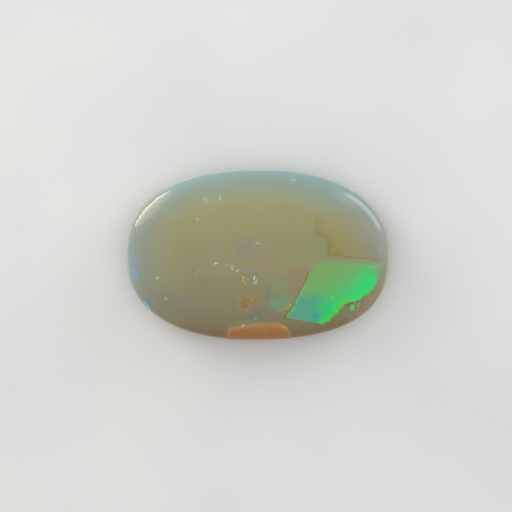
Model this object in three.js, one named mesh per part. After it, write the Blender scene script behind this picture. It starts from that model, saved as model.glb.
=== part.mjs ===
// A polished oval opal cabochon, one stone: a domed face, a thin girdle at its widest, a rounded bevel
// under the girdle and a flat back. Units are millimetres. +Z points out of the dome, +X runs along the
// oval's length, and the origin is the middle of the flat back, which the stone rests on.
import * as THREE from "three";

// Driving dimensions
const LENGTH = 20.0; // girdle outline along X
const WIDTH = 13.0; // girdle outline along Y
const HEIGHT = 3.6; // flat back to the top of the dome
const BACK_INSET = 1.1; // the flat back's edge lies about this far inside the girdle
const BEVEL_HEIGHT = 1.15; // flat back to the girdle's lower edge
const GIRDLE_HEIGHT = 0.25; // the upright band at the widest place
const BEVEL_BULGE = 0.5; // height of the bevel curve's control point, as a share of BEVEL_HEIGHT

// The outline is cut by hand, so it isn't quite symmetric. It has four quadrants, each a superellipse
// between two of the outline's outermost points, and these say how far those points lie from the middle of
// their side.
const FAR_POINT_X = 0.3; // the point furthest towards +Y
const NEAR_POINT_X = -0.5; // the point furthest towards -Y
const RIGHT_POINT_Y = 0.3; // the point furthest towards +X
const LEFT_POINT_Y = 0.05; // the point furthest towards -X
// Exponents of the quadrants: 2 is an ellipse, and more is squarer.
const FAR_RIGHT_POWER = 2.15;
const FAR_LEFT_POWER = 2.32;
const NEAR_LEFT_POWER = 2.3;
const NEAR_RIGHT_POWER = 2.6;

// Near the girdle the levels of the stone are even offsets of the outline, as a grinding wheel leaves them,
// and further in they are scaled copies of it. The higher this power, the nearer the girdle the offsets
// begin.
const OFFSET_POWER = 2;

// Mesh fineness
const STEPS_AROUND = 144;
const DOME_STEPS = 25;
const BEVEL_STEPS = 5;

const HALF_LENGTH = LENGTH / 2;
const HALF_WIDTH = WIDTH / 2;
const GIRDLE_TOP = BEVEL_HEIGHT + GIRDLE_HEIGHT;
const DOME_HEIGHT = HEIGHT - GIRDLE_TOP;
const BACK_SHARE = 1 - BACK_INSET / HALF_WIDTH;

// The centre, half sizes and exponent of the quadrant that a direction lies in.
function quadrant(angle) {
  const right = Math.cos(angle) >= 0;
  const far = Math.sin(angle) >= 0;
  const centreX = far ? FAR_POINT_X : NEAR_POINT_X;
  const centreY = right ? RIGHT_POINT_Y : LEFT_POINT_Y;
  const farPower = right ? FAR_RIGHT_POWER : FAR_LEFT_POWER;
  const nearPower = right ? NEAR_RIGHT_POWER : NEAR_LEFT_POWER;
  return {
    centreX,
    centreY,
    halfX: right ? HALF_LENGTH - centreX : HALF_LENGTH + centreX,
    halfY: far ? HALF_WIDTH - centreY : HALF_WIDTH + centreY,
    power: far ? farPower : nearPower,
  };
}

// The point of the girdle outline at an angle, and the outline's outward normal there.
function outline(angle) {
  const { centreX, centreY, halfX, halfY, power } = quadrant(angle);
  const cos = Math.cos(angle);
  const sin = Math.sin(angle);
  const acrossX = Math.abs(cos) ** (2 / power);
  const acrossY = Math.abs(sin) ** (2 / power);
  const point = new THREE.Vector2(
    centreX + Math.sign(cos) * halfX * acrossX,
    centreY + Math.sign(sin) * halfY * acrossY,
  );
  const normal = new THREE.Vector2(
    (Math.sign(cos) * acrossX ** (power - 1)) / halfX,
    (Math.sign(sin) * acrossY ** (power - 1)) / halfY,
  ).normalize();
  return { point, normal };
}

// Where a level of the stone crosses a direction. share is 0 on the axis and 1 at the girdle.
function place(share, angle) {
  const { point, normal } = outline(angle);
  const scaled = point.clone().multiplyScalar(share);
  const offset = point.clone().addScaledVector(normal, (share - 1) * HALF_WIDTH);
  return scaled.lerp(offset, share ** OFFSET_POWER);
}

// The section from the middle of the back to the top of the dome, which is a quarter of an ellipse. x is
// the share and y is the height.
function section() {
  const bevel = new THREE.QuadraticBezierCurve(
    new THREE.Vector2(BACK_SHARE, 0),
    new THREE.Vector2(1, BEVEL_HEIGHT * BEVEL_BULGE),
    new THREE.Vector2(1, BEVEL_HEIGHT),
  );
  const dome = [];
  for (let step = 0; step < DOME_STEPS; step++) {
    const turn = (Math.PI / 2) * (step / DOME_STEPS);
    dome.push(new THREE.Vector2(Math.cos(turn), GIRDLE_TOP + DOME_HEIGHT * Math.sin(turn)));
  }
  const middleOfBack = new THREE.Vector2(0, 0);
  const topOfDome = new THREE.Vector2(0, HEIGHT);
  return [middleOfBack, ...bevel.getPoints(BEVEL_STEPS), ...dome, topOfDome];
}

// The section is turned into a round stone of radius 1, whose vertices are then moved out to the oval.
function cabochonGeometry() {
  const geometry = new THREE.LatheGeometry(section(), STEPS_AROUND);
  geometry.rotateX(Math.PI / 2);
  const position = geometry.getAttribute("position");
  for (let i = 0; i < position.count; i++) {
    const x = position.getX(i);
    const y = position.getY(i);
    const placed = place(Math.hypot(x, y), Math.atan2(y, x));
    position.setXY(i, placed.x, placed.y);
  }
  geometry.computeVertexNormals();
  return geometry;
}

const opalMaterial = new THREE.MeshStandardMaterial({
  name: "milky_opal",
  color: 0x969272,
  roughness: 0.08,
  metalness: 0,
});

const stone = new THREE.Mesh(cabochonGeometry(), opalMaterial);
stone.name = "opal_cabochon";

const opal = new THREE.Group();
opal.name = "opal";
opal.add(stone);

export default opal;
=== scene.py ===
# A polished oval opal cabochon on a pale floor. A fine mesh of the stone stands for its plain solid, and
# shader nodes paint its milky body, edge haze, green colour flash and inclusions at their real places,
# with painted light among them: light in the haze, a glow at the girdle and the soft sides of the
# highlights.
# Lengths are in millimetres, except where Blender is handed metres.
import math

import bpy
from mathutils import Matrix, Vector, noise


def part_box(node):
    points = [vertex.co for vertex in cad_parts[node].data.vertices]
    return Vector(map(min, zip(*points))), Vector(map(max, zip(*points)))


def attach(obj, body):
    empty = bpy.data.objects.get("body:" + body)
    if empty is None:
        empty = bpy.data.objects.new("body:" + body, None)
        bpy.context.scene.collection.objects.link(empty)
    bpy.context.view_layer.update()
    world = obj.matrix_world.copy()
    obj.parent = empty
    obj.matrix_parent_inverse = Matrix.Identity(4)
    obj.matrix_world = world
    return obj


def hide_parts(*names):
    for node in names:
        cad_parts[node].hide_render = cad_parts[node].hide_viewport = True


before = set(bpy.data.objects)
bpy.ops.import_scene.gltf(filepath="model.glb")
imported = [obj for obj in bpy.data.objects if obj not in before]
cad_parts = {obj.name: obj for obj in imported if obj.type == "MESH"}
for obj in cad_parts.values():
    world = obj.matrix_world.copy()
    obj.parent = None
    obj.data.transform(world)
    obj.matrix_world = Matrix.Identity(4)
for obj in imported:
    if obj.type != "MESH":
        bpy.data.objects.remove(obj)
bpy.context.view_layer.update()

MM = 0.001  # a millimetre in Blender's metres
stone_low, stone_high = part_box("opal_cabochon")

# The stone, as the solid has it
HALF_LENGTH = (stone_high.x - stone_low.x) / 2 / MM
HALF_WIDTH = (stone_high.y - stone_low.y) / 2 / MM
HEIGHT = stone_high.z / MM
BACK_INSET = 1.1  # how far the flat back's edge lies inside the girdle
BEVEL_HEIGHT = 1.15
GIRDLE_HEIGHT = 0.25
BEVEL_BULGE = 0.5  # height of the bevel curve's control point, as a share of BEVEL_HEIGHT
GIRDLE_TOP = BEVEL_HEIGHT + GIRDLE_HEIGHT
DOME_HEIGHT = HEIGHT - GIRDLE_TOP
BACK_SHARE = 1 - BACK_INSET / HALF_WIDTH
OFFSET_POWER = 2  # the higher it is, the nearer the girdle the levels become even offsets of the outline

# The outline's four quadrants: where its outermost points lie, and how square each quadrant is
FAR_POINT_X = 0.3
NEAR_POINT_X = -0.5
RIGHT_POINT_Y = 0.3
LEFT_POINT_Y = 0.05
FAR_RIGHT_POWER = 2.15
FAR_LEFT_POWER = 2.32
NEAR_LEFT_POWER = 2.3
NEAR_RIGHT_POWER = 2.6

# The fine mesh
STEPS_AROUND = 288
BACK_STEPS = 6
BEVEL_STEPS = 14
GIRDLE_STEPS = 3
DOME_STEPS = 72
EASE_INSET = 0.06  # how far in from the back's edge its rounding begins
EASE_SHARE = 0.04  # how much of the bevel the rounding takes
EASE_STEPS = 3
RIPPLE_SIZE = 3.2  # the dome's hand-polished surface isn't quite true
RIPPLE_HEIGHT = 0.007
RIPPLE_START = 0.25  # the lowest share of the dome, over which the ripple grows to its full height

# The photograph's frame: its camera looks straight at the face, and the stone lies a little off its middle
PHOTO_WIDTH = 512
STONE_PIXELS = 263.3  # the stone's length in the photograph
STONE_MIDDLE_X = 257.75
STONE_MIDDLE_Y = 254.1
LENS = 200.0
SENSOR = 36.0
CLIP_START = 10.0
CLIP_END = 10000.0


def quadrant(angle):
    """The centre, half sizes and exponent of the outline's quadrant in a direction."""
    right = math.cos(angle) >= 0
    far = math.sin(angle) >= 0
    centre_x = FAR_POINT_X if far else NEAR_POINT_X
    centre_y = RIGHT_POINT_Y if right else LEFT_POINT_Y
    half_x = HALF_LENGTH - centre_x if right else HALF_LENGTH + centre_x
    half_y = HALF_WIDTH - centre_y if far else HALF_WIDTH + centre_y
    far_power = FAR_RIGHT_POWER if right else FAR_LEFT_POWER
    near_power = NEAR_RIGHT_POWER if right else NEAR_LEFT_POWER
    return centre_x, centre_y, half_x, half_y, far_power if far else near_power


def outline(angle):
    """The point of the girdle's outline at an angle, and its outward normal there."""
    centre_x, centre_y, half_x, half_y, power = quadrant(angle)
    cos, sin = math.cos(angle), math.sin(angle)
    across_x = abs(cos) ** (2 / power)
    across_y = abs(sin) ** (2 / power)
    point = Vector((
        centre_x + math.copysign(half_x * across_x, cos),
        centre_y + math.copysign(half_y * across_y, sin),
    ))
    normal = Vector((
        math.copysign(across_x ** (power - 1) / half_x, cos),
        math.copysign(across_y ** (power - 1) / half_y, sin),
    ))
    return point, normal.normalized()


def place(share, angle):
    """Where a level of the stone crosses a direction: share is 0 on the axis and 1 at the girdle."""
    point, normal = outline(angle)
    offset = point + normal * (share - 1) * HALF_WIDTH
    return (point * share).lerp(offset, share ** OFFSET_POWER)


def bevel(t):
    """A point of the bevel's section, from the flat back's edge at 0 to the girdle at 1."""
    share = (1 - t) ** 2 * BACK_SHARE + 2 * t * (1 - t) + t ** 2
    height = (2 * t * (1 - t) * BEVEL_BULGE + t ** 2) * BEVEL_HEIGHT
    return share, height


def section():
    """The section's points as (share, height), from next to the middle of the back to next to the top."""
    ease_start = BACK_SHARE - EASE_INSET / HALF_WIDTH
    ease_end_share, ease_end_height = bevel(EASE_SHARE)
    points = [(ease_start * (step + 1) / BACK_STEPS, 0.0) for step in range(BACK_STEPS)]
    for step in range(1, EASE_STEPS):
        t = step / EASE_STEPS
        share = (1 - t) ** 2 * ease_start + 2 * t * (1 - t) * BACK_SHARE + t ** 2 * ease_end_share
        points.append((share, t ** 2 * ease_end_height))
    for step in range(BEVEL_STEPS):
        points.append(bevel(EASE_SHARE + (1 - EASE_SHARE) * step / BEVEL_STEPS))
    for step in range(GIRDLE_STEPS):
        points.append((1.0, BEVEL_HEIGHT + GIRDLE_HEIGHT * step / GIRDLE_STEPS))
    for step in range(DOME_STEPS):
        turn = math.pi / 2 * step / DOME_STEPS
        points.append((math.cos(turn), GIRDLE_TOP + DOME_HEIGHT * math.sin(turn)))
    return points


def ring(share, height):
    """One level's vertices in metres."""
    vertices = []
    for step in range(STEPS_AROUND):
        x, y = place(share, 2 * math.pi * step / STEPS_AROUND)
        vertices.append((x * MM, y * MM, height * MM))
    return vertices


def ripple(mesh):
    """Moves the dome's vertices in and out by a few thousandths of a millimetre."""
    normals = [vertex.normal.copy() for vertex in mesh.vertices]
    for vertex, normal in zip(mesh.vertices, normals):
        rise = (vertex.co.z / MM - GIRDLE_TOP) / DOME_HEIGHT
        if rise > 0:
            swell = noise.noise(vertex.co / MM / RIPPLE_SIZE)
            vertex.co += normal * swell * min(1, rise / RIPPLE_START) * RIPPLE_HEIGHT * MM


def stone_mesh():
    """The stone's surface: a fan on the back, rings up the bevel, girdle and dome, and a fan at the top."""
    levels = section()
    vertices = [(0, 0, 0)]
    for share, height in levels:
        vertices += ring(share, height)
    vertices.append((0, 0, HEIGHT * MM))
    top = len(vertices) - 1
    faces = []
    for step in range(STEPS_AROUND):
        after = (step + 1) % STEPS_AROUND
        faces.append((0, 1 + after, 1 + step))
        for level in range(len(levels) - 1):
            low = 1 + level * STEPS_AROUND
            high = low + STEPS_AROUND
            faces.append((low + step, low + after, high + after, high + step))
        last = top - STEPS_AROUND
        faces.append((last + step, last + after, top))
    mesh = bpy.data.meshes.new("opal_stone")
    mesh.from_pydata(vertices, [], faces)
    ripple(mesh)
    mesh.shade_smooth()
    return mesh


# Shader nodes written as arithmetic


class Field:
    """A number, vector or colour that shader nodes work out at each point of a surface."""

    def __init__(self, socket):
        self.socket = socket

    def __add__(self, other):
        return number("ADD", self, other)

    def __radd__(self, other):
        return number("ADD", other, self)

    def __sub__(self, other):
        return number("SUBTRACT", self, other)

    def __rsub__(self, other):
        return number("SUBTRACT", other, self)

    def __mul__(self, other):
        return number("MULTIPLY", self, other)

    def __truediv__(self, other):
        return number("DIVIDE", self, other)

    def __pow__(self, other):
        return number("POWER", self, other)


def tree_of(values):
    """The node tree of the first field among some values."""
    return next(value.socket.id_data for value in values if isinstance(value, Field))


def feed(socket, value):
    """Links a field to a socket, or sets the socket to a plain value."""
    if isinstance(value, Field):
        socket.id_data.links.new(value.socket, socket)
    else:
        socket.default_value = value


def number(operation, *values):
    """One Math node."""
    node = tree_of(values).nodes.new("ShaderNodeMath")
    node.operation = operation
    for socket, value in zip(node.inputs, values):
        feed(socket, value)
    return Field(node.outputs["Value"])


def vector(operation, *values, output="Vector", scale=None):
    """One Vector Math node."""
    node = tree_of([*values, scale]).nodes.new("ShaderNodeVectorMath")
    node.operation = operation
    for socket, value in zip(node.inputs, values):
        feed(socket, value)
    if scale is not None:
        feed(node.inputs["Scale"], scale)
    return Field(node.outputs[output])


def lesser(first, second):
    return number("MINIMUM", first, second)


def greater(first, second):
    return number("MAXIMUM", first, second)


def ramp(value, start, end):
    """0 before start and 1 after end, with a smooth turn between them."""
    node = tree_of([value]).nodes.new("ShaderNodeMapRange")
    node.interpolation_type = "SMOOTHSTEP"
    feed(node.inputs["Value"], value)
    feed(node.inputs["From Min"], start)
    feed(node.inputs["From Max"], end)
    return Field(node.outputs["Result"])


def mix(first, second, factor):
    """The first colour where factor is 0, and the second where it is 1."""
    node = tree_of([first, second, factor]).nodes.new("ShaderNodeMix")
    node.data_type = "RGBA"
    sockets = {socket.identifier: socket for socket in node.inputs}
    feed(sockets["Factor_Float"], factor)
    feed(sockets["A_Color"], first)
    feed(sockets["B_Color"], second)
    return Field(next(socket for socket in node.outputs if socket.identifier == "Result_Color"))


# A noise node's values lie mostly within a quarter of 0.5, and this spreads them to about -1 to 1.
NOISE_SPREAD = 4.0


def noise_node(position, size, seed, detail):
    """One Noise node, whose fourth dimension is the seed."""
    node = tree_of([position]).nodes.new("ShaderNodeTexNoise")
    node.noise_dimensions = "4D"
    feed(node.inputs["Vector"], position)
    feed(node.inputs["W"], float(seed))
    feed(node.inputs["Scale"], 1 / size)
    feed(node.inputs["Detail"], detail)
    return node


def cloud(position, size, seed, detail=2.0):
    """Soft noise of about -1 to 1, with blotches of the given size."""
    node = noise_node(position, size, seed, detail)
    return (Field(node.outputs["Fac"]) - 0.5) * NOISE_SPREAD


def wander(position, size, amount, seed, detail=1.0, source=None):
    """The position pushed about by up to some distance, so that what is drawn there gets an uneven edge.

    The noise is taken at the source if there is one, and else at the position.
    """
    node = noise_node(source or position, size, seed, detail)
    centred = vector("SUBTRACT", Field(node.outputs["Color"]), (0.5, 0.5, 0.5))
    return vector("ADD", position, vector("SCALE", centred, scale=amount * NOISE_SPREAD))


def parts_of(position):
    """The x, y and z of a vector."""
    node = tree_of([position]).nodes.new("ShaderNodeSeparateXYZ")
    feed(node.inputs["Vector"], position)
    return [Field(node.outputs[axis]) for axis in "XYZ"]


def join(x, y, z):
    """A vector from its x, y and z."""
    node = tree_of([x, y, z]).nodes.new("ShaderNodeCombineXYZ")
    for axis, value in zip("XYZ", (x, y, z)):
        feed(node.inputs[axis], value)
    return Field(node.outputs["Vector"])


def colour(red, green, blue):
    """A colour given as a screen shows it, from 0 to 255, as the linear values that Blender takes.

    The numbers are those of the sRGB curve.
    """
    linear = []
    for level in (red, green, blue):
        share = level / 255
        linear.append(share / 12.92 if share <= 0.04045 else ((share + 0.055) / 1.055) ** 2.4)
    return (*linear, 1.0)


def place_on_piece(tree):
    """The place on the piece that is being shaded, in millimetres."""
    position = Field(tree.nodes.new("ShaderNodeTexCoord").outputs["Object"])
    return vector("SCALE", position, scale=1 / MM)


def emboss(tree, shader, height):
    """Shades the surface as if it were raised by a height."""
    node = tree.nodes.new("ShaderNodeBump")
    feed(node.inputs["Distance"], MM)
    feed(node.inputs["Height"], height)
    feed(shader.inputs["Normal"], Field(node.outputs["Normal"]))


# Shapes drawn on the stone as seen from above


def ellipse(plan, middle, half_size, turn=0.0, soft=0.5):
    """1 inside an ellipse and 0 outside, fading over a share of its size. It is turned by some degrees."""
    if turn:
        node = tree_of([plan]).nodes.new("ShaderNodeVectorRotate")
        node.rotation_type = "Z_AXIS"
        feed(node.inputs["Vector"], plan)
        feed(node.inputs["Center"], (*middle, 0.0))
        feed(node.inputs["Angle"], math.radians(-turn))
        plan = Field(node.outputs["Vector"])
    half_x, half_y = half_size
    squeezed = vector("MULTIPLY", plan, (1 / half_x, 1 / half_y, 0.0))
    centre = (middle[0] / half_x, middle[1] / half_y, 0.0)
    reach = vector("DISTANCE", squeezed, centre, output="Value")
    return ramp(reach, 1 + soft, 1 - soft)


def outside(plan, corners):
    """How far a point lies outside a convex shape whose corners run anticlockwise; negative inside it."""
    farthest = None
    for start, end in zip(corners, corners[1:] + corners[:1]):
        along = (Vector(end) - Vector(start)).normalized()
        outward = (along.y, -along.x, 0.0)
        level = along.y * start[0] - along.x * start[1]
        distance = vector("DOT_PRODUCT", plan, outward, output="Value") - level
        farthest = distance if farthest is None else greater(farthest, distance)
    return farthest


def away(plan, route):
    """The distance to a line drawn through some points."""
    nearest = None
    for start, end in zip(route, route[1:]):
        step = Vector((end[0] - start[0], end[1] - start[1], 0.0))
        from_start = vector("SUBTRACT", plan, (*start, 0.0))
        share = vector("DOT_PRODUCT", from_start, step / step.length_squared, output="Value")
        share = lesser(greater(share, 0.0), 1.0)
        foot = vector("SCALE", tuple(step), scale=share)
        distance = vector("DISTANCE", from_start, foot, output="Value")
        nearest = distance if nearest is None else lesser(nearest, distance)
    return nearest


def line(plan, route, width, soft=0.5):
    """1 on a line drawn through some points and 0 off it."""
    return ramp(away(plan, route), width / 2 * (1 + soft), width / 2 * (1 - soft))


FACE_FADE = (0.95, 1.25)  # the heights between which the marks on the face die away


class Stone:
    """The colour of the stone's surface, painted in layers, with the places that the layers are drawn at."""

    def __init__(self, tree):
        self.position = place_on_piece(tree)
        self.x, self.y, self.z = parts_of(self.position)
        self.plan = join(self.x, self.y, 0.0)
        # How far inside the outline a level of the dome lies. The girdle and everything under it has 0.
        rise = lesser(greater((self.z - GIRDLE_TOP) / DOME_HEIGHT, 0.0), 1.0)
        self.inset = (1.0 - (1.0 - rise * rise) ** 0.5) * HALF_WIDTH
        # 1 on the dome, and 0 on the back and the bevel but for the bevel's top
        self.face = ramp(self.z, *FACE_FADE)
        self.colour = None

    def wash(self, tint, mask):
        self.colour = mix(self.colour, tint, mask)

    def mark(self, tint, mask):
        """A wash that shows on the face and dies away under the girdle."""
        self.wash(tint, mask * self.face)


# Colours as the photograph shows them
BODY_LOW = colour(130, 121, 88)
BODY_MIDDLE = colour(143, 138, 99)
BODY_HIGH = colour(146, 144, 102)
BODY_OLIVE = colour(143, 139, 90)
BODY_GREY = colour(145, 141, 109)
# The edge haze's colours: the stone's milky blue with painted light in it
HAZE_AND_LIGHT_FAR = colour(128, 156, 160)
HAZE_AND_LIGHT_LEFT = colour(134, 153, 151)
HAZE_AND_LIGHT_RIGHT = colour(154, 161, 152)
NEAR_RIM_BROWN = colour(126, 104, 68)
# Painted light: the glow of light coming through the thin rim
GLOW_PALE = colour(192, 196, 186)
GLOW_WARM = colour(204, 170, 128)


def paint_body(stone):
    """The milky body: khaki, browner towards the near side, with faint clouds."""
    drift = stone.y + cloud(stone.position, size=4.5, seed=1) * 0.8
    olive = ramp(cloud(stone.position, size=3.2, seed=2), 0.0, 0.9)
    grey = ramp(cloud(stone.position, size=2.6, seed=3), 0.1, 1.0)
    stone.colour = mix(BODY_LOW, BODY_MIDDLE, ramp(drift, -7.5, 0.8))
    stone.wash(BODY_HIGH, ramp(drift, 0.0, 5.0))
    stone.wash(BODY_OLIVE, olive * 0.6)
    stone.wash(BODY_GREY, grey * 0.4)


HAZE_AND_LIGHT_DEPTH = 2.8  # how far in from the outline it reaches
HAZE_AND_LIGHT_EXTRA_DEPTH = 1.2  # how much further it reaches at the far right
HAZE_AND_LIGHT_POWER = 1.25
BEVEL_STRENGTH = 0.5  # the share of it on the bevel, which is plainer than the dome
ABOVE_BEVEL = (0.5, GIRDLE_TOP)  # the heights between which the bevel gives way to the dome
# The width of the painted rim glow
GLOW_WIDTH = 0.12
GLOW_EXTRA_WIDTH = 0.1  # how much wider it is at the far side


def paint_haze_and_light(stone):
    """The bluish haze inside the edge, which fades towards the near right side. It is partly the milky
    stone's own blue and partly painted light: light from the far lights, scattered in the rim.
    """
    far_right = ramp(stone.x, 2.0, 8.0) * ramp(stone.y, -1.0, 2.0)
    depth = HAZE_AND_LIGHT_DEPTH + far_right * HAZE_AND_LIGHT_EXTRA_DEPTH
    strength = greater(1.0 - stone.inset / depth, 0.0) ** HAZE_AND_LIGHT_POWER
    past_near_side = ramp(stone.y - stone.x * 0.14, -5.6, 1.0)
    uneven = 1.0 + cloud(stone.position, size=1.6, seed=4) * 0.12
    above = BEVEL_STRENGTH + ramp(stone.z, *ABOVE_BEVEL) * (1.0 - BEVEL_STRENGTH)
    tint = mix(HAZE_AND_LIGHT_LEFT, HAZE_AND_LIGHT_RIGHT, ramp(stone.x, -5.0, 8.0))
    tint = mix(tint, HAZE_AND_LIGHT_FAR, ramp(stone.y, 2.0, 5.0))
    # Partly painted light: light from the far lights, scattered in the rim, painted as a bluish haze
    stone.wash(tint, strength * past_near_side * uneven * above)


def paint_rim(stone):
    """The brown inside the near edge, and a painted glow at the girdle: light coming through the thin rim,
    painted pale at the far side and warm at the near side.
    """
    above = ramp(stone.z, *ABOVE_BEVEL)
    near = ramp(stone.y - stone.x * 0.1, -3.9, -6.0)
    stone.mark(NEAR_RIM_BROWN, near * ramp(stone.inset, 1.2, 0.1) * above * 0.8)
    # A painted glow: light coming through the thin rim, painted as a pale and a warm band at the girdle
    width = GLOW_WIDTH + ramp(stone.y, -3.5, 0.0) * GLOW_EXTRA_WIDTH
    glow = ramp(stone.inset, width, width * 0.3)
    stone.mark(GLOW_PALE, glow * ramp(stone.y, -4.5, -1.0) * 0.38)
    stone.mark(GLOW_WARM, glow * ramp(stone.y, -1.5, -5.0) * 0.42)


# The fracture: a thin brown line with a yellow zone on its far right side
FRACTURE = [
    (4.47, 2.96), (4.44, 2.35), (4.24, 1.62), (4.81, 1.43), (5.06, 1.21), (5.32, 0.77), (5.34, 0.3),
    (5.28, -0.06), (5.95, -0.02), (6.55, -0.17), (7.31, -0.28), (8.02, -0.28), (8.67, -0.4), (9.32, -0.49),
]
FRACTURE_ZONE = [(5.28, -0.04), (6.0, -0.04), (9.4, -0.48), (10.0, 6.0), (4.5, 6.0), (4.4, 1.5)]
FRACTURE_LOBE = ((4.5, 0.55), (0.85, 0.95))  # the yellow zone leaves this oval out
FRACTURE_STRENGTH = ((5.8, 0.8), (1.8, 1.8))  # and is strongest in the middle of this circle
FRACTURE_BROWN = colour(124, 106, 48)
FRACTURE_DEEP = colour(134, 120, 50)
FRACTURE_YELLOW = colour(148, 140, 82)


def paint_fracture(stone):
    """The yellow zone, deeper beside the line, and then the broken brown line."""
    ragged = wander(stone.plan, size=0.6, amount=0.06, seed=5)
    zone = ramp(outside(ragged, FRACTURE_ZONE), 0.1, -0.15)
    zone = zone * (1.0 - ellipse(ragged, *FRACTURE_LOBE, soft=0.12))
    zone = zone * ellipse(stone.plan, *FRACTURE_STRENGTH, soft=0.95)
    distance = away(ragged, FRACTURE)
    stone.mark(FRACTURE_YELLOW, zone * 0.8)
    stone.mark(FRACTURE_DEEP, zone * ramp(distance, 0.8, 0.05) * 0.5)
    uneven = 0.6 + ramp(cloud(stone.plan, size=0.5, seed=23), -0.9, 0.9) * 0.4
    weaker = 1.0 - greater(ramp(stone.x, 6.0, 8.5), ramp(stone.y, 1.7, 2.3)) * 0.5
    stone.mark(FRACTURE_BROWN, ramp(distance, 0.15, 0.0) * uneven * weaker * 0.6)


# The green flash is two convex shapes side by side
FLASH_LEFT_PART = [
    (2.2, -4.79), (4.9, -5.32), (5.5, -4.93), (6.63, -3.78), (6.65, -0.65), (5.3, -0.55), (4.45, -0.72),
    (3.97, -1.36),
]
FLASH_RIGHT_PART = [
    (6.63, -3.8), (7.73, -3.42), (8.47, -2.92), (8.97, -2.12), (9.2, -1.4), (9.3, -0.82), (5.3, -0.55),
]
FLASH_JAGGED_EDGE = [
    (4.86, -5.31), (5.48, -4.92), (5.84, -4.63), (5.95, -4.3), (6.63, -3.77), (7.43, -3.54), (8.14, -3.15),
    (8.67, -2.62), (8.97, -2.1),
]
FLASH_STRAIGHT_EDGE = [(2.2, -4.78), (2.7, -3.98), (3.09, -3.27), (3.47, -2.5), (3.71, -1.91), (3.94, -1.4)]
FLASH_STRAIGHT_EDGE_FOOT = [(2.25, -4.74), (2.7, -4.05), (2.95, -3.6)]
FLASH_NEAR_EDGE = [(2.6, -4.83), (3.3, -4.97), (4.0, -5.08)]
FLASH_NOTCH_SHADOW = [(6.65, -3.86), (7.2, -3.74), (7.65, -3.54), (7.95, -3.36)]
FLASH_OLIVE = colour(115, 168, 92)
FLASH_GREEN = colour(90, 182, 105)
FLASH_BRIGHT = colour(30, 214, 112)
FLASH_DEEP = colour(8, 206, 112)
FLASH_LIME = colour(66, 224, 52)
FLASH_YELLOW_GREEN = colour(104, 188, 58)
FLASH_TEAL = colour(76, 166, 134)
FLASH_BLUE = colour(52, 158, 158)
FLASH_EDGE_LINE = colour(128, 196, 96)
FLASH_NEAR_LINE = colour(136, 168, 188)
FLASH_GLINT = colour(116, 236, 150)
FLASH_PIT = colour(60, 132, 44)
FLASH_SHADOW = colour(112, 70, 38)
# Glows in the flash: middle, half size, turn in degrees, softness, strength and colour
FLASH_GLOWS = [
    ((8.0, -2.4), (0.95, 0.75), 35, 0.8, 0.9, FLASH_BRIGHT),
    ((5.1, -4.25), (0.95, 0.6), 60, 0.8, 0.85, FLASH_DEEP),
    ((6.4, -3.72), (0.65, 0.25), 38, 0.7, 0.75, FLASH_YELLOW_GREEN),
    ((4.4, -4.66), (0.27, 0.36), 0, 0.7, 0.85, FLASH_BLUE),
]
# Thin bright lines at its edges: route, width, strength and colour
FLASH_LINES = [
    (FLASH_STRAIGHT_EDGE, 0.1, 0.65, FLASH_EDGE_LINE),
    (FLASH_STRAIGHT_EDGE_FOOT, 0.14, 0.6, FLASH_EDGE_LINE),
    (FLASH_NEAR_EDGE, 0.1, 0.8, FLASH_NEAR_LINE),
]
STRIPE_STRETCH = (0.12, 1.0, 1.0)


def flash_colour(stone, ragged, jagged):
    """The flash's green: brightest along its jagged edge, and teal in its near left corner."""
    bright = ramp(jagged, 1.5, 0.3) * ramp(stone.y, -1.2, -2.4)
    drift = stone.y + cloud(stone.plan, size=0.9, seed=24) * 0.15
    near_left = ramp(drift, -2.5, -3.6) * ramp(stone.x, 5.7, 4.1)
    green = mix(FLASH_GREEN, FLASH_OLIVE, ramp(jagged, 0.9, 3.0))
    green = mix(green, FLASH_BRIGHT, bright * 0.9)
    green = mix(green, FLASH_TEAL, near_left * 0.9)
    for middle, half_size, turn, soft, strength, tint in FLASH_GLOWS:
        green = mix(green, tint, ellipse(ragged, middle, half_size, turn, soft) * strength)

    # Beads of lime, glints and pits along the jagged edge
    beads = ramp(cloud(stone.plan, size=0.14, seed=8), -0.5, 0.4)
    lime = ramp(jagged, 0.6, 0.15) * beads * ramp(stone.y, -2.0, -3.0)
    glints = cloud(stone.plan, size=0.11, seed=30)
    edge = ramp(jagged, 0.38, 0.12) * ramp(stone.y, -2.2, -2.9)
    green = mix(green, FLASH_LIME, lime * 0.9)
    green = mix(green, FLASH_GLINT, edge * ramp(glints, 0.4, 0.9) * 0.7)
    green = mix(green, FLASH_PIT, edge * ramp(glints, -0.4, -0.9) * 0.6)

    # It is duller at the far right, and has fine stripes across it, as the layers of the stone leave them
    far_right = ramp(stone.x, 8.5, 9.2) * ramp(stone.y, -1.9, -1.0)
    green = mix(green, FLASH_OLIVE, far_right * 0.6)
    stripes = ramp(cloud(vector("MULTIPLY", stone.plan, STRIPE_STRETCH), size=0.16, seed=9), 0.0, 1.0)
    faint = 0.18 + ramp(stone.y, -1.4, -0.9) * 0.3
    return mix(green, FLASH_OLIVE, stripes * faint * ramp(jagged, 0.2, 1.0))


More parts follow.
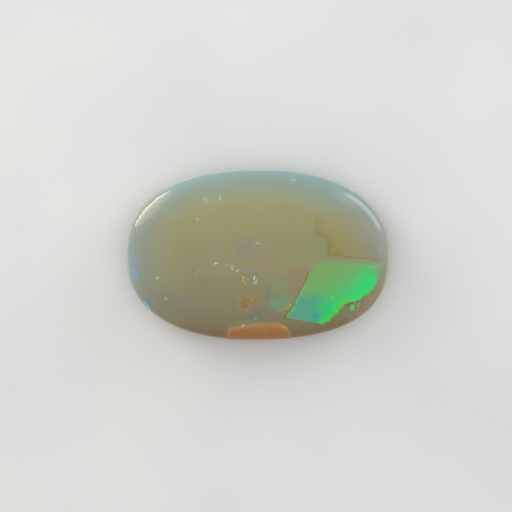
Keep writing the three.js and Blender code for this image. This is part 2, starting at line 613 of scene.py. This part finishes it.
def paint_flash(stone):
    """The big green flash: lumpy along its jagged edge and soft at its far side. Returns its mask."""
    jagged = away(stone.plan, FLASH_JAGGED_EDGE)
    ragged = wander(stone.plan, size=0.9, amount=0.05, seed=6)
    lumps = 0.02 + ramp(jagged, 0.5, 0.2) * 0.11
    lumpy = wander(ragged, size=0.24, amount=lumps, seed=7, detail=2.0, source=stone.plan)
    outer = lesser(outside(lumpy, FLASH_LEFT_PART), outside(lumpy, FLASH_RIGHT_PART))
    fading = greater(ramp(stone.y, -1.7, -0.7), ramp(stone.x, 8.5, 9.1) * 0.5)
    softness = 0.04 + fading * 0.26
    inside = ramp(outer, softness, softness * -1.0)
    green = flash_colour(stone, ragged, jagged)

    specks = ramp(cloud(stone.plan, size=0.16, seed=29), -0.4, 0.3)
    stone.mark(FLASH_SHADOW, line(lumpy, FLASH_NOTCH_SHADOW, 0.13, soft=0.9) * specks * 0.75)
    beside = vector("ADD", stone.plan, (0.09, 0.0, 0.0))
    stone.mark(FLASH_SHADOW, line(beside, FLASH_STRAIGHT_EDGE, 0.16, soft=0.95) * 0.4)
    stone.mark(green, inside)
    flicker = ramp(cloud(stone.plan, size=0.3, seed=25), -0.6, 0.4)
    for route, width, strength, tint in FLASH_LINES:
        stone.mark(tint, line(ragged, route, width, soft=0.9) * flicker * strength)
    return inside


# The orange patch at the near rim. It goes down the girdle and dies away on the bevel.
PATCH_CORNERS = [
    (-2.4, -7.0), (2.65, -7.0), (2.5, -5.98), (2.2, -5.54), (1.68, -5.18), (0.13, -5.16), (-1.98, -5.48),
    (-2.27, -5.64),
]
PATCH_PALE = colour(172, 133, 84)
PATCH_ORANGE = colour(164, 114, 58)
PATCH_DEEP = colour(160, 103, 44)
PATCH_EDGE = colour(184, 136, 82)


def paint_patch(stone):
    """The orange patch, paler towards its edge. Returns its mask."""
    ragged = wander(stone.position, size=0.7, amount=0.04, seed=10)
    outer = outside(vector("MULTIPLY", ragged, (1.0, 1.0, 0.0)), PATCH_CORNERS)
    above_end = ramp(stone.z + cloud(stone.position, size=0.8, seed=26) * 0.2, 0.3, 1.1)
    inside = ramp(outer, 0.05, -0.06) * above_end
    orange = mix(PATCH_PALE, PATCH_ORANGE, ramp(outer, -0.1, -0.5))
    orange = mix(orange, PATCH_DEEP, ramp(stone.y, -5.5, -6.1))
    orange = mix(orange, PATCH_PALE, ramp(cloud(stone.position, size=0.7, seed=11), 0.2, 1.2) * 0.3)
    sides = ramp(outer, -0.3, -0.04) * ramp(stone.y, -5.3, -5.9)
    orange = mix(orange, PATCH_EDGE, sides * 0.5)
    stone.wash(orange, inside)
    return inside


# Soft stains of colour, and painted highlight at the two long highlights: middle, half size, turn in
# degrees, softness, strength and colour
STAINS = [
    ((-0.85, 0.45), (0.85, 0.8), 0, 0.6, 0.65, colour(139, 131, 115)),  # purple-grey spot
    ((-0.85, 0.35), (0.4, 0.45), 0, 0.8, 0.4, colour(136, 126, 120)),
    ((-1.02, -1.25), (0.34, 0.17), -4, 0.7, 0.8, colour(140, 136, 146)),  # bluish spot under it
    ((-0.2, -1.1), (0.7, 0.3), 4, 0.8, 0.35, colour(136, 132, 122)),
    ((3.3, -0.5), (1.7, 0.95), 12, 0.8, 0.45, colour(138, 150, 94)),  # green wash by the fracture
    ((0.85, -0.58), (0.8, 0.4), 8, 0.8, 0.6, colour(151, 132, 99)),  # rosy wash in the middle
    ((3.0, -1.75), (1.25, 0.62), 38, 0.5, 0.8, colour(148, 129, 94)),  # rosy zone left of the flash
    ((2.75, -2.9), (0.36, 1.3), -18, 0.6, 0.75, colour(144, 127, 90)),
    ((1.1, -2.2), (0.75, 0.35), -8, 0.9, 0.45, colour(124, 148, 112)),  # second green patch
    ((1.75, -3.15), (0.8, 1.0), -24, 0.7, 0.6, colour(120, 146, 102)),
    ((1.7, -3.7), (0.75, 0.45), 12, 0.7, 0.7, colour(106, 156, 108)),
    ((1.26, -3.82), (0.42, 0.3), -8, 0.9, 0.7, colour(92, 162, 136)),
    ((0.78, -3.2), (0.28, 0.55), 4, 0.7, 0.6, colour(124, 124, 114)),
    ((0.45, -4.26), (0.8, 0.2), -2, 0.6, 0.6, colour(126, 122, 112)),  # grey-blue lenses by the orange patch
    ((0.85, -4.18), (0.3, 0.12), -4, 0.7, 0.5, colour(144, 124, 112)),
    ((-0.1, -4.7), (0.65, 0.3), 0, 0.7, 0.6, colour(116, 118, 104)),
    ((-5.4, -3.6), (1.7, 0.7), -4, 0.9, 0.5, colour(140, 130, 114)),  # purple-grey wash at the near left
    ((4.04, -1.04), (0.2, 0.22), 20, 0.8, 0.8, colour(146, 142, 136)),  # grey corner of the flash
    ((6.84, -4.67), (0.3, 0.22), 20, 0.8, 0.8, colour(136, 124, 128)),  # violet spot under the flash
    ((-8.2, 3.5), (2.0, 0.62), 44, 0.8, 0.7, colour(150, 148, 132)),  # painted highlight: the soft glow inside the far left highlight
    ((6.7, 4.25), (1.1, 0.36), -30, 0.8, 0.6, colour(158, 172, 168)),  # painted highlight: the far right highlight's soft upper end
    # milk along the right rim
    ((9.5, 1.3), (0.32, 1.7), -4, 0.8, 0.6, colour(162, 162, 164)),
    ((8.15, -4.05), (1.6, 0.45), 46, 0.8, 0.6, colour(162, 142, 106)),  # warmth inside the near right rim
    ((6.5, -4.45), (0.4, 0.3), 20, 0.8, 0.5, colour(122, 142, 92)),
    ((-9.32, -0.9), (0.24, 0.7), 4, 0.8, 0.5, colour(132, 152, 176)),  # blue-violet glow at the left rim
    ((-9.34, -1.38), (0.12, 0.28), 8, 0.8, 0.7, colour(126, 154, 212)),
    ((-8.27, -3.78), (0.12, 0.42), 38, 0.7, 0.9, colour(76, 138, 162)),  # cyan streak at the near left rim
]


def paint_stains(stone):
    """The stains and the painted highlights, with ragged edges and uneven strength."""
    ragged = wander(stone.plan, size=0.7, amount=0.18, seed=12, detail=3.0)
    uneven = 0.7 + ramp(cloud(stone.plan, size=0.4, seed=27, detail=3.0), -0.8, 0.8) * 0.4
    for middle, half_size, turn, soft, strength, tint in STAINS:
        stone.mark(tint, ellipse(ragged, middle, half_size, turn, soft) * strength * uneven)


# Small sparks and specks, and one painted highlight: middle, half size, turn in degrees, strength and colour
SPARKS = [
    ((-3.98, 4.1), (0.22, 0.07), 25, 0.5, colour(188, 164, 124)),  # peach cross
    ((-3.9, 4.1), (0.07, 0.24), 8, 0.6, colour(190, 164, 124)),
    ((-4.08, 4.18), (0.06, 0.05), 8, 0.6, colour(200, 176, 134)),
    ((-3.72, 3.92), (0.06, 0.1), 8, 0.5, colour(184, 166, 118)),
    ((-2.84, 4.22), (0.08, 0.16), 0, 0.85, colour(148, 196, 146)),
    ((-4.54, 2.64), (0.1, 0.1), 0, 0.7, colour(174, 176, 118)),
    ((-6.57, 0.15), (0.12, 0.12), 0, 0.3, colour(162, 162, 120)),
    ((-7.57, -1.8), (0.09, 0.09), 0, 0.9, colour(196, 192, 148)),
    ((-6.94, -3.36), (0.09, 0.08), 0, 0.8, colour(190, 188, 146)),
    ((-1.62, -3.02), (0.12, 0.05), 0, 0.4, colour(160, 152, 112)),
    ((-4.5, -1.25), (0.06, 0.2), -14, 0.6, colour(156, 148, 148)),
    ((-4.72, -1.75), (0.05, 0.26), -20, 0.35, colour(152, 146, 138)),
    ((-4.1, -1.15), (0.04, 0.3), -10, 0.25, colour(158, 152, 130)),
    ((-0.02, 0.81), (0.13, 0.08), -8, 0.9, colour(198, 160, 138)),
    ((0.38, 0.78), (0.2, 0.05), 0, 0.4, colour(172, 140, 108)),
    ((0.2, 0.47), (0.45, 0.05), -4, 0.25, colour(152, 160, 118)),
    ((-3.28, -0.77), (0.12, 0.04), 42, 0.8, colour(196, 186, 146)),  # the vein's cream arc
    ((-3.16, -0.69), (0.08, 0.05), 20, 0.95, colour(226, 218, 182)),
    ((-3.02, -0.7), (0.12, 0.035), -4, 0.6, colour(190, 184, 140)),
    ((-2.25, -0.83), (0.3, 0.035), 0, 0.7, colour(190, 158, 118)),
    ((-1.93, -0.98), (0.09, 0.1), 0, 0.9, colour(206, 154, 114)),
    ((-1.92, -1.16), (0.05, 0.05), 0, 0.9, colour(222, 204, 164)),
    ((-1.78, -1.16), (0.06, 0.06), 0, 0.6, colour(140, 108, 66)),
    ((-1.6, -1.3), (0.07, 0.06), -30, 0.8, colour(206, 170, 130)),
    ((-1.47, -1.22), (0.06, 0.06), 0, 0.9, colour(204, 206, 166)),
    ((-1.09, -1.76), (0.07, 0.07), 0, 0.9, colour(200, 174, 88)),
    ((-1.2, -1.84), (0.05, 0.05), 0, 0.6, colour(112, 104, 50)),
    ((-1.1, -1.96), (0.07, 0.05), 0, 0.8, colour(194, 180, 126)),
    ((-0.96, -2.16), (0.14, 0.04), -54, 0.6, colour(178, 166, 128)),
    ((-0.74, -1.93), (0.05, 0.05), 0, 0.6, colour(182, 180, 130)),
    ((-0.26, -1.8), (0.045, 0.17), -22, 0.95, colour(196, 222, 206)),  # the cyan spark
    ((-0.11, -1.97), (0.045, 0.09), -20, 0.85, colour(196, 206, 176)),
    ((-0.17, -1.86), (0.03, 0.12), -22, 0.6, colour(96, 98, 78)),
    ((-0.2, -2.18), (0.13, 0.09), 0, 0.95, colour(100, 206, 170)),
    ((-0.07, -2.14), (0.05, 0.07), 0, 0.8, colour(160, 224, 196)),
    ((-0.12, -1.45), (0.12, 0.06), 0, 0.5, colour(150, 116, 86)),
    ((0.05, -1.98), (0.05, 0.05), 0, 0.5, colour(128, 148, 84)),
    ((0.22, -2.15), (0.05, 0.05), 0, 0.4, colour(166, 126, 92)),
    ((-1.1, -5.4), (0.08, 0.09), 0, 0.9, colour(200, 190, 206)),
    ((-1.05, -5.2), (0.1, 0.06), 0, 0.6, colour(122, 118, 130)),
    ((0.42, -5.4), (0.12, 0.04), 0, 0.4, colour(186, 140, 106)),
    ((1.96, -5.49), (0.27, 0.05), 0, 0.9, colour(188, 176, 88)),
    ((-0.16, -4.87), (0.06, 0.08), 0, 0.7, colour(178, 180, 146)),
    ((1.46, -3.12), (0.14, 0.03), 4, 0.4, colour(98, 106, 80)),
    ((1.45, -2.9), (0.1, 0.03), 4, 0.4, colour(140, 160, 128)),
    ((2.44, -3.86), (0.08, 0.08), 0, 0.6, colour(158, 190, 128)),
    ((5.66, -3.3), (0.1, 0.12), 0, 0.4, colour(132, 206, 144)),
    ((7.9, -0.49), (0.8, 0.035), -1, 0.4, colour(164, 170, 138)),  # the lines along the flash's far edge
    ((8.0, -0.73), (0.85, 0.04), -2, 0.5, colour(160, 142, 110)),
    ((8.5, -0.87), (0.75, 0.04), -2, 0.5, colour(148, 190, 140)),
    ((8.75, -1.03), (0.5, 0.035), -2, 0.45, colour(142, 196, 142)),
    # A painted highlight: the glint of a small scratch near the far rim, with a dark speck beside it
    ((2.73, 5.58), (0.22, 0.035), -12, 0.6, colour(204, 206, 192)),
    ((2.95, 5.48), (0.12, 0.04), -20, 0.4, colour(128, 136, 120)),
    ((-8.36, -3.86), (0.06, 0.42), 38, 0.9, colour(130, 206, 220)),
    ((7.61, -3.82), (0.1, 0.18), -15, 0.85, colour(100, 196, 100)),
    ((7.61, -3.85), (0.04, 0.1), -15, 0.6, colour(128, 148, 96)),
]


def paint_sparks(stone):
    ragged = wander(stone.plan, size=0.16, amount=0.03, seed=13)
    for middle, half_size, turn, strength, tint in SPARKS:
        stone.mark(tint, ellipse(ragged, middle, half_size, turn, 0.7) * strength)


VEIN = [(-1.93, -1.0), (-1.6, -1.3), (-1.34, -1.6), (-1.09, -1.84), (-0.88, -2.3)]
VEIN_CREAM = colour(186, 150, 110)
VEIN_SHADE = colour(122, 100, 66)
SECOND_PATCH_RIM = [(1.42, -4.24), (1.93, -4.2), (2.16, -4.08), (2.44, -3.86)]
SECOND_PATCH_LINE = colour(140, 182, 112)
ROSY_EDGE = [(1.74, -1.94), (2.25, -1.55), (2.6, -1.2)]
ROSY_EDGE_BROWN = colour(122, 104, 70)


def paint_lines(stone):
    """The spark vein with its dark side, and the edges of the second green patch."""
    ragged = wander(stone.plan, size=0.22, amount=0.06, seed=14)
    broken = ramp(cloud(stone.plan, size=0.2, seed=15), -0.5, 0.4)
    beside = vector("ADD", ragged, (0.06, 0.07, 0.0))
    stone.mark(VEIN_SHADE, line(beside, VEIN, 0.11, soft=0.9) * broken * 0.25)
    stone.mark(VEIN_CREAM, line(ragged, VEIN, 0.08, soft=0.9) * broken * 0.7)
    stone.mark(SECOND_PATCH_LINE, line(ragged, SECOND_PATCH_RIM, 0.1, soft=0.9) * 0.6)
    stone.mark(ROSY_EDGE_BROWN, line(ragged, ROSY_EDGE, 0.12, soft=0.9) * broken * 0.4)


RUST_MIDDLE = (-0.97, -3.64)
RUST_RADIUS = 0.5
RUST_ORANGE = colour(166, 122, 74)
RUST_CREAM = colour(206, 168, 112)
RUST_CORE = colour(146, 118, 66)
RUST_DARK = colour(116, 90, 56)
RUST_BAR = colour(148, 94, 56)
RUST_LINE = colour(176, 134, 104)
# The bar and the fine lines along it: middle, half size, turn in degrees, softness, strength and colour
RUST_BARS = [
    ((-1.1, -3.93), (0.36, 0.1), 5, 0.5, 0.85, RUST_BAR),
    ((-1.02, -3.84), (0.3, 0.03), 5, 0.8, 0.5, RUST_LINE),
    ((-1.05, -4.14), (0.48, 0.05), 3, 0.8, 0.6, RUST_LINE),
]


def paint_rust(stone):
    """The rusty inclusion: a ragged ring of grains round an olive core, with a bar across its near side."""
    ragged = wander(stone.plan, size=0.26, amount=0.16, seed=16, detail=2.0)
    reach = vector("DISTANCE", ragged, (*RUST_MIDDLE, 0.0), output="Value")
    grain = cloud(stone.plan, size=0.14, seed=17)
    other_grain = cloud(stone.plan, size=0.12, seed=28)
    inside = ramp(reach, RUST_RADIUS + 0.2, RUST_RADIUS - 0.3)
    band = ramp(number("ABSOLUTE", reach - RUST_RADIUS), 0.22, 0.05)
    stone.mark(RUST_CORE, inside * 0.7)
    stone.mark(RUST_ORANGE, greater(band, inside * 0.6) * ramp(grain, -0.5, 0.6) * 0.7)
    stone.mark(RUST_DARK, inside * ramp(other_grain, -0.1, -0.8) * 0.5)
    stone.mark(RUST_CREAM, band * ramp(other_grain, 0.1, 0.7) * ramp(stone.y, -4.1, -3.6) * 0.65)
    for middle, half_size, turn, soft, strength, tint in RUST_BARS:
        stone.mark(tint, ellipse(ragged, middle, half_size, turn, soft) * strength)


DROP_MIDDLE = (7.15, -4.04)
DROP_SIZE = (0.16, 0.22)
DROP_CORE_MIDDLE = (7.15, -4.08)
DROP_CORE_SIZE = (0.08, 0.132)
DROP_TURN = -15
DROP_GREEN = colour(72, 226, 100)
DROP_CORE = colour(88, 180, 92)


def paint_drop(stone):
    """A tiny green drop beside the flash, brighter round its edge."""
    stone.mark(DROP_GREEN, ellipse(stone.plan, DROP_MIDDLE, DROP_SIZE, DROP_TURN, 0.4))
    stone.mark(DROP_CORE, ellipse(stone.plan, DROP_CORE_MIDDLE, DROP_CORE_SIZE, DROP_TURN, 0.5) * 0.7)


BACK_MILK = colour(144, 142, 116)
BACK_BLUE = colour(138, 152, 142)


def paint_back(stone):
    """The flat back: greyer and plainer than the face, with broad milky clouds."""
    back = ramp(stone.z, 0.9, 0.1)
    stone.wash(BACK_MILK, back * 0.6)
    stone.wash(BACK_BLUE, back * ramp(cloud(stone.position, size=2.8, seed=18), 0.0, 1.0) * 0.5)


def new_material(name):
    """A material with an empty node tree, and its Principled shader."""
    material = bpy.data.materials.new(name)
    material.use_nodes = True
    tree = material.node_tree
    tree.nodes.clear()
    shader = tree.nodes.new("ShaderNodeBsdfPrincipled")
    output = tree.nodes.new("ShaderNodeOutputMaterial")
    tree.links.new(shader.outputs["BSDF"], output.inputs["Surface"])
    return material, tree, shader


OPAL_IOR = 1.45
POLISHED = 0.035  # roughness of the dome
SMEARED = 0.03  # how much rougher its smears are
BEVEL_ROUGHER = 0.1  # how much rougher it is under the girdle
BACK_ROUGHER = 0.3  # and how much more than that on the flat back
SKIN_WEIGHT = 0.7  # the share of light let in under the skin
SKIN_DEPTH = 1.2
SKIN_COLOUR_DEPTHS = (1.0, 0.75, 0.5)  # red goes deepest
POLISHING_STRETCH = (1.0, 3.0, 3.0)
POLISHING_RELIEF = 0.0002
GRINDING_STRETCH = (0.15, 1.0, 1.0)
GRINDING_RELIEF = 0.004


def opal_material():
    """Milky polished opal: painted colour with some painted light at the edge, a little light let in under
    the skin, and a bright polish.
    """
    material, tree, shader = new_material("milky_opal")
    stone = Stone(tree)
    paint_body(stone)
    paint_haze_and_light(stone)
    paint_rim(stone)
    paint_fracture(stone)
    paint_stains(stone)
    flash = paint_flash(stone)
    patch = paint_patch(stone)
    paint_lines(stone)
    paint_rust(stone)
    paint_sparks(stone)
    paint_drop(stone)
    paint_back(stone)
    grain = cloud(stone.position, size=0.35, seed=19, detail=3.0)
    stone.wash(BODY_LOW, ramp(grain, 0.0, 1.2) * 0.08)
    feed(shader.inputs["Base Color"], stone.colour)

    smear = ramp(cloud(stone.position, size=2.2, seed=20, detail=3.0), -0.5, 1.0) * SMEARED
    on_back = ramp(stone.z, 0.16, 0.02)
    under_girdle = ramp(stone.z, GIRDLE_TOP, BEVEL_HEIGHT)
    unpolished = on_back * BACK_ROUGHER + under_girdle * BEVEL_ROUGHER
    feed(shader.inputs["Roughness"], POLISHED + smear + unpolished)
    feed(shader.inputs["IOR"], OPAL_IOR)
    # The thin outer part lets light through, but the fine inclusions further in stay crisp
    thin = ramp(stone.inset, 2.6, 0.6)
    feed(shader.inputs["Subsurface Weight"], thin * (1.0 - greater(flash, patch)) * SKIN_WEIGHT)
    feed(shader.inputs["Subsurface Scale"], SKIN_DEPTH * MM)
    feed(shader.inputs["Subsurface Radius"], SKIN_COLOUR_DEPTHS)

    # Polishing lines all over, and coarser grinding marks on the back
    polishing = cloud(vector("MULTIPLY", stone.position, POLISHING_STRETCH), size=0.5, seed=21, detail=2.0)
    grinding = cloud(vector("MULTIPLY", stone.position, GRINDING_STRETCH), size=0.09, seed=22, detail=2.0)
    on_flat = ramp(stone.z, 0.1, 0.0)
    emboss(tree, shader, polishing * POLISHING_RELIEF + grinding * on_flat * GRINDING_RELIEF)
    return material


def add_object(name, data):
    """A new object in the scene."""
    added = bpy.data.objects.new(name, data)
    bpy.context.collection.objects.link(added)
    return added


FLOOR_RADIUS = 3000.0
FLOOR_CORNERS = 96
FLOOR_TOOTH = 0.004
FLOOR_PALE = colour(226, 226, 224)
FLOOR_SHADE = colour(220, 220, 219)


def floor_material():
    """Pale matte board with a faint tooth."""
    material, tree, shader = new_material("pale_board")
    position = place_on_piece(tree)
    shade = ramp(cloud(position, size=14.0, seed=1), -1.0, 1.0)
    feed(shader.inputs["Base Color"], mix(FLOOR_PALE, FLOOR_SHADE, shade))
    feed(shader.inputs["Roughness"], 0.9)
    feed(shader.inputs["Specular IOR Level"], 0.1)
    emboss(tree, shader, cloud(position, size=0.3, seed=2, detail=3.0) * FLOOR_TOOTH)
    return material


def make_floor():
    corners = []
    for corner in range(FLOOR_CORNERS):
        angle = 2 * math.pi * corner / FLOOR_CORNERS
        corners.append((FLOOR_RADIUS * MM * math.cos(angle), FLOOR_RADIUS * MM * math.sin(angle), 0.0))
    mesh = bpy.data.meshes.new("floor")
    mesh.from_pydata(corners, [], [tuple(range(FLOOR_CORNERS))])
    mesh.materials.append(floor_material())
    floor = add_object("floor", mesh)


# Two soft lights stand upright on the floor beyond the stone's far corners. Their reflections are the two
# long highlights. Each fades towards its ends, and its radiance also changes with the height.
LIGHT_DISTANCE = 150.0
LIGHT_WIDTH = 124.0
LIGHT_END_FADE = 0.65  # the share of the way to its ends at which a light begins to fade

LEFT_LIGHT_BEARING = 140.0  # in degrees, from +X towards +Y
LEFT_LIGHT_HEIGHT = 150.0
LEFT_LIGHT_TINT = (1.0, 0.975, 0.92)
LEFT_GLARE_HEIGHT = 80.0  # the glare fades from the floor up to here
LEFT_GLARE_RADIANCE = 11.0
LEFT_GLARE_POWER = 1.6
LEFT_VEIL_HEIGHT = 90.0  # the veil is even up to here, and fades to the light's top
LEFT_VEIL_RADIANCE = 2.5

RIGHT_LIGHT_BEARING = 38.5
RIGHT_LIGHT_HEIGHT = 85.0
RIGHT_LIGHT_TINT = (0.9, 0.97, 1.0)
RIGHT_BAND_FOOT = (2.0, 28.0)  # the band's lower fade
RIGHT_BAND_TOP = 50.0  # its upper fade goes from here to the light's top
RIGHT_BAND_DROP = 10.0  # how much lower the upper fade lies at the light's ends
RIGHT_BAND_RADIANCE = 4.6


def left_radiance(height, end):
    """A glare at the floor and an even veil, which reach less high towards the ends.

    end is 0 in the middle of the light's width and 1 at its ends.
    """
    narrowed = height * (1.0 + end * end)
    glare = greater(1.0 - narrowed / LEFT_GLARE_HEIGHT, 0.0) ** LEFT_GLARE_POWER
    veil = ramp(narrowed, LEFT_LIGHT_HEIGHT, LEFT_VEIL_HEIGHT)
    return glare * LEFT_GLARE_RADIANCE + veil * LEFT_VEIL_RADIANCE


def right_radiance(height, end):
    """A band that fades both ways."""
    raised = height + end * end * RIGHT_BAND_DROP
    band = ramp(height, *RIGHT_BAND_FOOT) * ramp(raised, RIGHT_LIGHT_HEIGHT, RIGHT_BAND_TOP)
    return band * RIGHT_BAND_RADIANCE


def make_light(name, bearing, light_height, tint, radiance):
    """A light that faces the stone. radiance gives its level from the height and the way to its ends."""
    data = bpy.data.lights.new(name, "AREA")
    data.shape = "RECTANGLE"
    data.size = LIGHT_WIDTH * MM
    data.size_y = light_height * MM
    data.color = tint
    data.energy = math.pi * data.size * data.size_y  # a radiance of 1, which the nodes then scale
    data.use_nodes = True
    tree = data.node_tree
    place_on_light = Field(tree.nodes.new("ShaderNodeNewGeometry").outputs["Parametric"])
    across, up, _ = parts_of(place_on_light)
    end = number("ABSOLUTE", across - 0.5) * 2.0
    level = ramp(end, 1.0, LIGHT_END_FADE) * radiance(up * light_height, end)
    feed(tree.nodes["Emission"].inputs["Strength"], level)
    light = add_object(name, data)
    angle = math.radians(bearing)
    outward = Vector((math.cos(angle), math.sin(angle), 0.0))
    light.location = (outward * LIGHT_DISTANCE + Vector((0, 0, light_height / 2))) * MM
    light.rotation_euler = outward.to_track_quat("Z", "Y").to_euler()
    light.visible_camera = False


def make_lights():
    make_light("left_light", LEFT_LIGHT_BEARING, LEFT_LIGHT_HEIGHT, LEFT_LIGHT_TINT, left_radiance)
    make_light("right_light", RIGHT_LIGHT_BEARING, RIGHT_LIGHT_HEIGHT, RIGHT_LIGHT_TINT, right_radiance)


SKY_LEVEL = 0.82
SKY_COLOUR = (1.0, 1.0, 1.0)


def make_world():
    """An even white studio."""
    world = bpy.data.worlds.new("studio")
    world.use_nodes = True
    background = world.node_tree.nodes["Background"]
    background.inputs["Color"].default_value = (*SKY_COLOUR, 1.0)
    background.inputs["Strength"].default_value = SKY_LEVEL
    bpy.context.scene.world = world


def make_camera():
    """Looks straight down, at the distance where the stone is as long in the frame as in the photograph."""
    pixel = 2 * HALF_LENGTH / STONE_PIXELS
    frame_width = pixel * PHOTO_WIDTH
    distance = frame_width * LENS / SENSOR
    data = bpy.data.cameras.new("camera")
    data.lens = LENS
    data.sensor_width = SENSOR
    data.clip_start = CLIP_START * MM
    data.clip_end = CLIP_END * MM
    camera = add_object("camera", data)
    x = (PHOTO_WIDTH / 2 - STONE_MIDDLE_X) * pixel
    y = (STONE_MIDDLE_Y - PHOTO_WIDTH / 2) * pixel
    camera.location = Vector((x, y, distance + GIRDLE_TOP)) * MM
    bpy.context.scene.camera = camera


make_camera()
make_world()
make_lights()
make_floor()

stone = add_object("opal_stone", stone_mesh())
stone.data.materials.append(opal_material())
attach(stone, "root")
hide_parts("opal_cabochon")

bpy.context.scene.view_settings.view_transform = "Standard"
